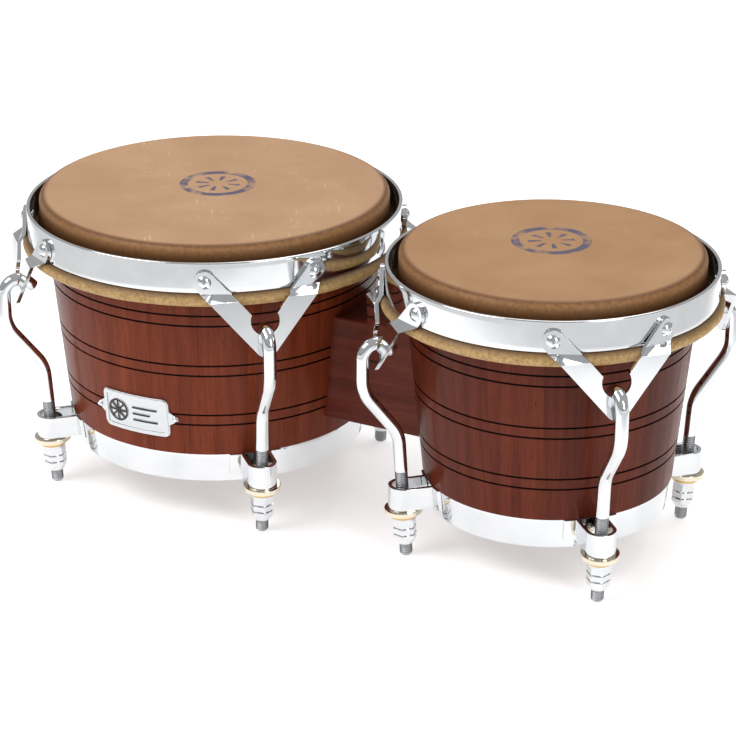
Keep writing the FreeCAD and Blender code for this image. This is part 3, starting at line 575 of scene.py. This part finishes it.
def make_piece(name: str, bm: bmesh.types.BMesh, material: bpy.types.Material) -> bpy.types.Object:
    """Turn a finished bmesh, with its creases marked, into an object.

    Args:
        name: The piece's name.
        bm: The mesh, which is freed.
        material: Its material.

    Returns:
        The new object, at the origin.
    """
    mesh = bpy.data.meshes.new(name)
    bm.to_mesh(mesh)
    bm.free()
    mesh.materials.append(material)
    piece = bpy.data.objects.new(name, mesh)
    bpy.context.scene.collection.objects.link(piece)
    LOG.info("built %s", name)
    return piece


def dress(node: str, material: bpy.types.Material) -> None:
    """Give a CAD node its finish, in place of whatever material it came with.

    Args:
        node: The CAD node.
        material: Its finish.
    """
    mesh = frame["nodes"][node].data
    mesh.materials.clear()
    mesh.materials.append(material)
    LOG.info("dressed %s", node)


def merged_copy(node: str) -> bmesh.types.BMesh:
    """Copy a CAD node's mesh, weld it and clear away the seams inside its flat faces.

    Args:
        node: The CAD node.

    Returns:
        The welded copy.
    """
    bm = bmesh.new()
    bm.from_mesh(frame["nodes"][node].data)
    bmesh.ops.remove_doubles(bm, verts=bm.verts[:], dist=WELD)
    bmesh.ops.dissolve_limit(bm, angle_limit=FLAT, verts=bm.verts[:], edges=bm.edges[:])
    return bm


def eased_copy(node: str, ease: float, sharp: float = 40.0) -> bmesh.types.BMesh:
    """Copy a CAD node and round its sharp edges, which is what catches the light on a plated part.

    Args:
        node: The CAD node.
        ease: Width of the rounding, in metres.
        sharp: Angle in degrees past which an edge is rounded.

    Returns:
        The eased mesh.
    """
    bm = merged_copy(node)
    edges = [e for e in bm.edges if e.is_manifold and e.calc_face_angle(0.0) > math.radians(sharp)]
    made = bmesh.ops.bevel(bm, geom=edges, offset=ease, offset_type="OFFSET", affect="EDGES", segments=2,
                           profile=0.5, material=-1, clamp_overlap=True)
    mark_creases(bm, sharp, made["faces"])
    return bm


@dataclass(frozen=True)
class DrumSizes:
    """Where one drum's parts lie, read from the frame, in metres."""

    name: str
    x: float
    head: float
    top: float
    wrap_outer: float
    rim_outer: float
    rim_low: float
    rim_high: float
    ring_radius: float
    ring_low: float
    ring_high: float

    @classmethod
    def read(cls, name: str) -> "DrumSizes":
        """Read a drum's sizes from the boxes of its nodes.

        Args:
            name: The drum's name.

        Returns:
            The drum's sizes.
        """
        head_low, head_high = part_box(f"{name}_head_membrane")
        collar_low, collar_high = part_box(f"{name}_head_collar")
        rim_low, rim_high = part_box(f"{name}_rim")
        ring_low, ring_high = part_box(f"{name}_bottom_ring")
        return cls(name=name, x=(rim_low.x + rim_high.x) / 2, head=(head_high.x - head_low.x) / 2,
                   top=head_high.z, wrap_outer=(collar_high.x - collar_low.x) / 2,
                   rim_outer=(rim_high.x - rim_low.x) / 2, rim_low=rim_low.z, rim_high=rim_high.z,
                   ring_radius=(ring_high.x - ring_low.x) / 2, ring_low=ring_low.z, ring_high=ring_high.z)


@dataclass
class Head:
    """The rawhide skin: one sheet over the shell's edge, down its side and round the hoop."""

    sizes: DrumSizes
    finish: Rawhide
    skin: float = SKIN
    edge_round: float = HEAD_ROUND
    wrap: float = 4.0 * MM
    flare_drop: float = 16.0 * MM
    still_drop: float = 9.0 * MM
    wrap_end_degrees: float = 478.0
    unevenness: float = 0.35 * MM
    ripple_mm: float = 16.0
    sharp: float = 60.0

    def build(self) -> bpy.types.Object:
        """Turn the skin, give it its thickness, and ruffle it as hand-tucked hide is.

        Returns:
            The skin.
        """
        s = self.sizes
        hoop, hoop_z = s.wrap_outer - self.wrap, s.rim_low - self.wrap
        inner = self.wrap - self.skin
        reach = Vector((s.head - hoop, s.top - self.flare_drop - hoop_z))
        touch = math.atan2(reach.y, reach.x) + math.acos(inner / reach.length)
        lathe = Lathe(0.0, s.top)
        lathe.line_to(s.head - self.edge_round, s.top, steps=24)
        lathe.arc_about(s.head - self.edge_round, s.top - self.edge_round, -90.0, 10)
        lathe.line_to(s.head, s.top - self.flare_drop, steps=5)
        lathe.line_to(hoop + inner * math.cos(touch), hoop_z + inner * math.sin(touch), steps=6)
        lathe.arc_about(hoop, hoop_z, self.wrap_end_degrees - math.degrees(touch), 24)
        bm = lathe.turn(s.x, closed=False)
        if max(bm.faces, key=lambda f: f.calc_center_median().z).normal.z < 0:
            bmesh.ops.reverse_faces(bm, faces=bm.faces[:])
        bmesh.ops.solidify(bm, geom=bm.faces[:], thickness=self.skin)
        bmesh.ops.recalc_face_normals(bm, faces=bm.faces[:])
        self._ruffle(bm)
        self._record_height(bm)
        mark_creases(bm, self.sharp)
        piece = make_piece(f"{s.name}_head_skin", bm, self.finish.build())
        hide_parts(f"{s.name}_head_membrane", f"{s.name}_head_collar")
        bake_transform(piece)
        return piece

    def _record_height(self, bm: bmesh.types.BMesh) -> None:
        """Note each point's height below the head, so that the wrap keeps its colour as the crown moves.

        Args:
            bm: The skin's mesh.
        """
        layer = bm.verts.layers.float.new("rest_height")
        for vert in bm.verts:
            vert[layer] = vert.co.z - self.sizes.top

    def _ruffle(self, bm: bmesh.types.BMesh) -> None:
        """Move the side and the wrap in and out by a fraction of a millimetre.

        Args:
            bm: The skin's mesh.
        """
        s = self.sizes
        for vert in bm.verts:
            out = Vector((vert.co.x - s.x, vert.co.y, 0.0))
            fall = min(1.0, max(0.0, (s.top - vert.co.z) / self.flare_drop))
            if out.length > 0.5 * s.head and fall > 0.0:
                wave = noise.noise(Vector((vert.co.x, vert.co.y, vert.co.z * 2)) * per_size(self.ripple_mm))
                vert.co += out.normalized() * wave * self.unevenness * fall


@dataclass
class Band:
    """A turned steel band: the rim above the hoop, or the ring around the foot."""

    sizes: DrumSizes
    node: str
    body: str
    top_outer: float
    foot_outer: float
    high: float
    low: float
    thickness: float
    edge: float
    sharp: float = 60.0

    def build(self, material: bpy.types.Material) -> bpy.types.Object:
        """Turn the band with rolled edges, and put it in its node's place.

        Args:
            material: The band's finish.

        Returns:
            The band.
        """
        t, e = self.thickness, self.edge
        lathe = Lathe(self.top_outer - t + e, self.high)
        lathe.line_to(self.top_outer - e, self.high)
        lathe.arc_about(self.top_outer - e, self.high - e, -90.0, 4)
        lathe.line_to(self.foot_outer, self.low + e, steps=6)
        lathe.arc_about(self.foot_outer - e, self.low + e, -90.0, 4)
        lathe.line_to(self.foot_outer - t + e, self.low)
        lathe.arc_about(self.foot_outer - t + e, self.low + e, -90.0, 4)
        lathe.line_to(self.top_outer - t, self.high - e, steps=6)
        lathe.arc_about(self.top_outer - t + e, self.high - e, -84.0, 4)
        name = f"{self.sizes.name}_{self.node}"
        bm = lathe.turn(self.sizes.x, closed=True)
        mark_creases(bm, self.sharp)
        piece = make_piece(f"{name}_band", bm, material)
        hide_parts(name)
        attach(piece, self.body)
        return piece


@dataclass
class TuningHook:
    """A bent bar with a rolled thread on its lower end."""

    drum: str
    lug: int
    foot: Vector
    up: Vector
    pitch: float = 1.411 * MM
    major: float = 3.93 * MM
    minor: float = 3.32 * MM
    thread_run: float = 57.0 * MM
    chamfer: float = 0.9 * MM
    lap: float = 0.6 * MM
    steps: int = 20
    sharp: float = 50.0

    @classmethod
    def read(cls, drum: str, lug: int) -> "TuningHook":
        """Find a rod's axis from its nut's joint, and its foot from the lowest point of its node.

        Args:
            drum: The drum's name.
            lug: The lug's number.

        Returns:
            The hook.
        """
        joint = next(j for j in frame["joints"] if j["name"] == f"{drum}_nut_{lug}_turn")
        up = Vector(joint["axis"]).normalized()
        start = Vector(joint["pos_m"])
        mesh = frame["nodes"][f"{drum}_hook_{lug}"].data
        lowest = min((v.co - start).dot(up) for v in mesh.vertices)
        return cls(drum, lug, start + up * lowest, up)

    def _thread(self) -> bmesh.types.BMesh:
        """Wind one tooth up the rod, weld the turns, and cut both ends flat.

        Returns:
            The threaded end, in place.
        """
        bm = bmesh.new()
        tooth = ((self.minor, 0.0), (self.minor, 0.12), (self.major, 0.44), (self.major, 0.56),
                 (self.minor, 0.88), (self.minor, 1.0))
        verts = [bm.verts.new((radius, 0.0, (share - 1.0) * self.pitch)) for radius, share in tooth]
        edges = [bm.edges.new(pair) for pair in zip(verts, verts[1:])]
        turns = round(self.thread_run / self.pitch) + 2
        bmesh.ops.spin(bm, geom=verts + edges, cent=(0, 0, 0), axis=(0, 0, 1), angle=math.tau * turns,
                       dvec=(0.0, 0.0, self.pitch / self.steps), steps=self.steps * turns, use_merge=False)
        bmesh.ops.remove_doubles(bm, verts=bm.verts[:], dist=2e-6)
        for height, clear in ((0.0, "clear_inner"), (self.thread_run, "clear_outer")):
            cut = bmesh.ops.bisect_plane(bm, geom=bm.verts[:] + bm.edges[:] + bm.faces[:],
                                         plane_co=(0, 0, height), plane_no=(0, 0, 1), **{clear: True})
            rim = [e for e in cut["geom_cut"] if isinstance(e, bmesh.types.BMEdge)]
            bmesh.ops.contextual_create(bm, geom=rim)
        bmesh.ops.recalc_face_normals(bm, faces=bm.faces[:])
        for vert in bm.verts:
            room = self.minor - self.chamfer + vert.co.z
            reach = Vector((vert.co.x, vert.co.y, 0.0))
            if reach.length > room:
                vert.co -= reach.normalized() * (reach.length - room)
        lean = self.up.to_track_quat("Z", "Y").to_matrix().to_4x4()
        bmesh.ops.transform(bm, matrix=Matrix.Translation(self.foot) @ lean, verts=bm.verts[:])
        return bm

    def build(self, chrome: bpy.types.Material, thread: bpy.types.Material) -> bpy.types.Object:
        """Cut the plain bar above the thread and join the threaded end to it.

        Args:
            chrome: The bar's finish.
            thread: The thread's finish.

        Returns:
            The hook.
        """
        node = f"{self.drum}_hook_{self.lug}"
        bm = merged_copy(node)
        start = self.foot + self.up * (self.thread_run - self.lap)
        cut = bmesh.ops.bisect_plane(bm, geom=bm.verts[:] + bm.edges[:] + bm.faces[:], plane_co=start,
                                     plane_no=self.up, clear_inner=True)
        rim = [e for e in cut["geom_cut"] if isinstance(e, bmesh.types.BMEdge)]
        bmesh.ops.contextual_create(bm, geom=rim)
        mesh = bpy.data.meshes.new("thread")
        threaded = self._thread()
        for face in threaded.faces:
            face.material_index = 1
        threaded.to_mesh(mesh)
        threaded.free()
        bm.from_mesh(mesh)
        bpy.data.meshes.remove(mesh)
        mark_creases(bm, self.sharp)
        piece = make_piece(f"{self.drum}_tuning_hook_{self.lug}", bm, chrome)
        piece.data.materials.append(thread)
        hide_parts(node)
        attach(piece, f"{self.drum}_hook_{self.lug}_body")
        return piece


@dataclass
class EasedPart:
    """A plated CAD part whose sharp edges are rounded a little."""

    node: str
    body: str
    slot: str = "chrome"
    ease: float = 0.35 * MM

    def build(self, material: bpy.types.Material) -> bpy.types.Object:
        """Copy the part, round it, and put it in the node's place.

        Args:
            material: The part's finish.

        Returns:
            The part.
        """
        piece = make_piece(f"{self.node}_eased", eased_copy(self.node, self.ease), material)
        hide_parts(self.node)
        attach(piece, self.body)
        return piece


@dataclass
class Badge:
    """The plate on the large drum's front, with its relief marked for the enamel."""

    node: str = "hembra_badge"
    relief: float = 0.45 * MM
    emblem: tuple[float, float, float] = (20.0 * MM, 0.0, 9.0 * MM)
    sharp: float = 30.0

    def build(self, sizes: DrumSizes) -> bpy.types.Object:
        """Copy the badge, mark what stands proud of its ground, and dress it.

        Args:
            sizes: The drum that it is pinned to.

        Returns:
            The badge.
        """
        low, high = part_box(self.node)
        centre = (low + high) / 2
        bm = merged_copy(self.node)
        layer = bm.verts.layers.float.new("relief")
        slope = cone_slope(sizes)
        reach = {v: math.hypot(v.co.x - sizes.x, v.co.y) - slope * v.co.z for v in bm.verts}
        outermost = max(reach.values())
        for vert, distance in reach.items():
            vert[layer] = 1.0 if distance > outermost - self.relief else 0.0
        # Satin nickel with a bright border, and black enamel that makes the emblem stand out.
        finish = DieCastBadge("nickel_plated_die_cast_zinc", centre, Vector(self.emblem))
        mark_creases(bm, self.sharp)
        piece = make_piece("hembra_maker_plate", bm, finish.build())
        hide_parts(self.node)
        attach(piece, ROOT_BODY)
        return piece


def cone_slope(sizes: DrumSizes) -> float:
    """Work out how fast a shell's outer radius grows with height.

    Args:
        sizes: The drum's sizes.

    Returns:
        Metres of radius per metre of height.
    """
    foot = sizes.ring_radius + SHELL_PROUD
    return (sizes.head - SKIN - foot) / (sizes.top - SKIN - sizes.ring_high)


@dataclass
class Drum:
    """One drum with everything that is fastened to it."""

    sizes: DrumSizes
    skin: Rawhide
    wood: tuple[str, str]
    seed: float
    rim_wall: float = 2.5 * MM
    rim_edge: float = 0.9 * MM
    ring_wall: float = 2.0 * MM
    ring_edge: float = 0.7 * MM
    ring_taper: float = 2.0 * MM
    small_ease: float = 0.25 * MM
    washer_ease: float = 0.2 * MM

    def build(self, finishes: Mapping[str, bpy.types.Material]) -> None:
        """Build and dress the drum's pieces, from the head down.

        Args:
            finishes: The metal finishes by name.
        """
        s = self.sizes
        crown = f"{s.name}_crown"
        Head(s, self.skin).build()
        Band(s, "rim", crown, s.rim_outer, s.rim_outer, s.rim_high, s.rim_low, self.rim_wall,
             self.rim_edge).build(finishes["chrome"])
        Band(s, "bottom_ring", ROOT_BODY, s.ring_radius, s.ring_radius - self.ring_taper, s.ring_high,
             s.ring_low, self.ring_wall, self.ring_edge).build(finishes["chrome"])
        dress(f"{s.name}_shell", self._wood())
        dress(f"{s.name}_flesh_hoop", finishes["zinc"])
        EasedPart(f"{s.name}_rim_rivets", crown, ease=self.small_ease).build(finishes["chrome"])
        EasedPart(f"{s.name}_pocket_floors", ROOT_BODY).build(finishes["nickel"])
        EasedPart(f"{s.name}_nut_washers", ROOT_BODY, "brass", self.washer_ease).build(finishes["brass"])
        for lug in LUGS:
            nut = f"{s.name}_nut_{lug}"
            EasedPart(f"{s.name}_lug_plate_{lug}", crown).build(finishes["chrome"])
            EasedPart(f"{s.name}_lug_pocket_{lug}", ROOT_BODY).build(finishes["chrome"])
            EasedPart(nut, f"{nut}_body", ease=self.small_ease).build(finishes["chrome"])
            TuningHook.read(s.name, lug).build(finishes["chrome"], finishes["thread"])
        LOG.info("%s drum built", s.name)

    def _wood(self) -> bpy.types.Material:
        """Finish the shell: reddish staves under a thin gloss, with the turned grooves left dark.

        Returns:
            The shell's material.
        """
        s, slope = self.sizes, cone_slope(self.sizes)
        cone_top = s.ring_radius + SHELL_PROUD - slope * s.ring_high
        return LacqueredMahogany(f"{s.name}_lacquered_mahogany", *self.wood, Grain.UP_THE_STAVES, s.x, s.head,
                                 cone_top, slope, seed=self.seed).build()


@dataclass(frozen=True)
class Softbox:
    """A rectangular soft light: where it hangs, its size in metres and its power in watts."""

    name: str
    place: tuple[float, float, float]
    size: tuple[float, float]
    watts: float

    def build(self, aim: Vector) -> None:
        """Hang the light so that it faces the drums.

        Args:
            aim: The point that it faces.
        """
        lamp = bpy.data.lights.new(self.name, "AREA")
        lamp.shape = "RECTANGLE"
        lamp.size, lamp.size_y = self.size
        lamp.energy = self.watts
        holder = bpy.data.objects.new(self.name, lamp)
        holder.location = self.place
        holder.rotation_euler = (aim - Vector(self.place)).to_track_quat("-Z", "Y").to_euler()
        bpy.context.scene.collection.objects.link(holder)


@dataclass
class Studio:
    """The plain studio: a pale floor that glows as painted light, soft lights, and the camera."""

    azimuth: float = 28.53
    elevation: float = 23.05
    distance: float = 1.6425
    aim: tuple[float, float, float] = (0.0096, 0.0, 0.0753)
    lens: float = 128.5
    shift: tuple[float, float] = (-0.0147, 0.0266)
    sight: float = 50.0
    floor_half: float = 6.0
    floor_white: float = 0.92
    floor_glow: float = 0.5
    far_floor: float = 0.56
    floor_falls: tuple[float, float] = (0.42, 0.58)
    floor_regains: tuple[float, float] = (0.9, 1.8)
    regained: float = 0.3
    wall_heights: tuple[float, float] = (-0.1, 0.5)
    wall_strengths: tuple[float, float] = (0.45, 0.55)
    softboxes: tuple[Softbox, ...] = (Softbox("key_softbox", (-1.2, -1.6, 2.2), (1.8, 1.2), 34.0),
                                      Softbox("fill_softbox", (2.0, -1.0, 1.2), (0.8, 1.6), 14.0),
                                      Softbox("top_softbox", (0.2, 0.9, 2.2), (2.0, 1.0), 15.0))

    def _floor(self) -> None:
        """Lay a pale floor that glows as painted light to lift its shadows, its colour and glow dimmer away
        from the drums so that the chrome has something grey to mirror.
        """
        bm = bmesh.new()
        bmesh.ops.create_grid(bm, x_segments=1, y_segments=1, size=self.floor_half)
        g = Graph(bpy.data.materials.new("white_board_with_painted_glow"))
        turn = math.radians(self.azimuth)
        front = (math.sin(turn), -math.cos(turn), 0.0)
        side = (math.cos(turn), math.sin(turn), 0.0)
        ahead = g.add("ShaderNodeVectorMath", {0: g.point, 1: front}, "Value", operation="DOT_PRODUCT")
        aside = g.add("ShaderNodeVectorMath", {0: g.point, 1: side}, "Value", operation="DOT_PRODUCT")
        before = g.add("ShaderNodeMath", {0: ahead, 1: 0.0}, operation="MAXIMUM")
        flat = g.add("ShaderNodeCombineXYZ", {"X": before, "Y": aside})
        reach = g.add("ShaderNodeVectorMath", {0: flat}, "Value", operation="LENGTH")
        fall = g.add("ShaderNodeMapRange", {"Value": reach, "From Min": self.floor_falls[0],
                                            "From Max": self.floor_falls[1], "To Min": 1.0,
                                            "To Max": self.far_floor}, interpolation_type="SMOOTHSTEP")
        regain = g.add("ShaderNodeMapRange", {"Value": reach, "From Min": self.floor_regains[0],
                                              "From Max": self.floor_regains[1], "To Max": self.regained},
                       interpolation_type="SMOOTHSTEP")
        fall = g.add("ShaderNodeMath", {0: fall, 1: regain}, operation="ADD")
        tone = g.add("ShaderNodeVectorMath", {0: (self.floor_white,) * 3, 3: fall}, operation="SCALE")
        # Painted light: the floor glows, most near the drums, lifting the shadows that fall on it.
        glow = g.add("ShaderNodeMath", {0: fall, 1: self.floor_glow}, operation="MULTIPLY")
        board = g.finish({"Base Color": tone, "Roughness": 0.85, "Emission Color": linear("#ffffff"),
                          "Emission Strength": glow})
        make_piece("studio_floor", bm, board)

    def _world(self) -> None:
        """Surround the set with pale walls that darken a little towards the ground."""
        bpy.context.scene.world = bpy.data.worlds.new("studio_walls")
        g = Graph(bpy.context.scene.world)
        sky = g.add("ShaderNodeTexCoord", output="Generated")
        height = g.add("ShaderNodeSeparateXYZ", {0: sky}, "Z")
        rise = g.add("ShaderNodeMapRange", {"Value": height, "From Min": self.wall_heights[0],
                                            "From Max": self.wall_heights[1],
                                            "To Min": self.wall_strengths[0],
                                            "To Max": self.wall_strengths[1]})
        shade = g.add("ShaderNodeBackground", {"Strength": rise})
        g.add("ShaderNodeOutputWorld", {"Surface": shade})

    def _camera(self) -> None:
        """Set the camera up at the viewing angle."""
        turn, tilt = math.radians(self.azimuth), math.radians(self.elevation)
        back = Vector((math.sin(turn) * math.cos(tilt), -math.cos(turn) * math.cos(tilt), math.sin(tilt)))
        data = bpy.data.cameras.new("studio_camera")
        data.lens = self.lens
        data.shift_x, data.shift_y = self.shift
        data.clip_end = self.sight
        camera = bpy.data.objects.new("studio_camera", data)
        camera.location = Vector(self.aim) + back * self.distance
        camera.rotation_euler = (-back).to_track_quat("-Z", "Y").to_euler()
        bpy.context.scene.collection.objects.link(camera)
        bpy.context.scene.camera = camera

    def build(self) -> None:
        """Set the whole studio."""
        self._floor()
        self._world()
        for softbox in self.softboxes:
            softbox.build(Vector(self.aim))
        self._camera()
        bpy.context.scene.view_settings.view_transform = "Standard"


def main() -> None:
    """Build the studio, the finishes, both drums and the pieces between them."""
    logging.basicConfig(level=logging.INFO)
    Studio().build()
    finishes = {
        # Buffed chrome plate: a cool mirror with a trace of handling haze.
        "chrome": PlatedSteel("buffed_chrome_plate", "#d2d5d8", 0.05).build(),
        # Bright zinc on a rolled thread: greyer and softer than the bar above it.
        "thread": PlatedSteel("rolled_thread_zinc", "#9b9da0", 0.28, grit_depth=0.02).build(),
        # Zinc plate on hidden fasteners: dull grey.
        "zinc": PlatedSteel("zinc_plated_steel", "#b4b5b2", 0.3, grit_depth=0.02).build(),
        # Nickel on the pocket floors: a warmer, softer mirror than the chrome around it.
        "nickel": PlatedSteel("warm_nickel_plate", "#ddd0b8", 0.12).build(),
        # Aged brass washers: a brown glint under each pocket.
        "brass": PlatedSteel("aged_brass", "#c09a62", 0.16).build(),
    }
    hembra, macho = DrumSizes.read("hembra"), DrumSizes.read("macho")
    skins = {
        # Played rawhide: paler, cloudy, and crossed by short pale scratches.
        "hembra": Rawhide(name="worn_rawhide", centre=Vector((hembra.x, 0.0, hembra.top)), light="#c69e79",
                          dark="#ba906b", head_radius=hembra.head, scratches=0.75,
                          stamp=(-1.5 * MM, 6.0 * MM), stamp_turn=0.5, seed=1.0),
        # Newer rawhide: browner and nearly unmarked.
        "macho": Rawhide(name="new_rawhide", centre=Vector((macho.x, 0.0, macho.top)), light="#b98f66",
                         dark="#ad8057", head_radius=macho.head, scratches=0.12,
                         stamp=(-6.0 * MM, 10.5 * MM), stamp_turn=0.2, seed=4.0),
    }
    for sizes, wood, seed in ((hembra, ("#803a22", "#632814"), 3.0), (macho, ("#6b2f1e", "#511f12"), 11.0)):
        Drum(sizes, skins[sizes.name], wood, seed).build(finishes)
    # The same mahogany laid along the block, duller and cooler in the drums' shade.
    block = LacqueredMahogany("block_lacquered_mahogany", "#74372a", "#542318", Grain.ALONG_THE_BLOCK, 0.0,
                              lacquer=0.08)
    dress("center_block", block.build())
    for node in ("block_bolts", "block_washers", "block_inserts"):
        dress(node, finishes["zinc"])
    Badge().build(hembra)
    dress("hembra_badge_pins", finishes["chrome"])
    LOG.info("block and badge dressed")


if __name__ == "__main__":
    main()
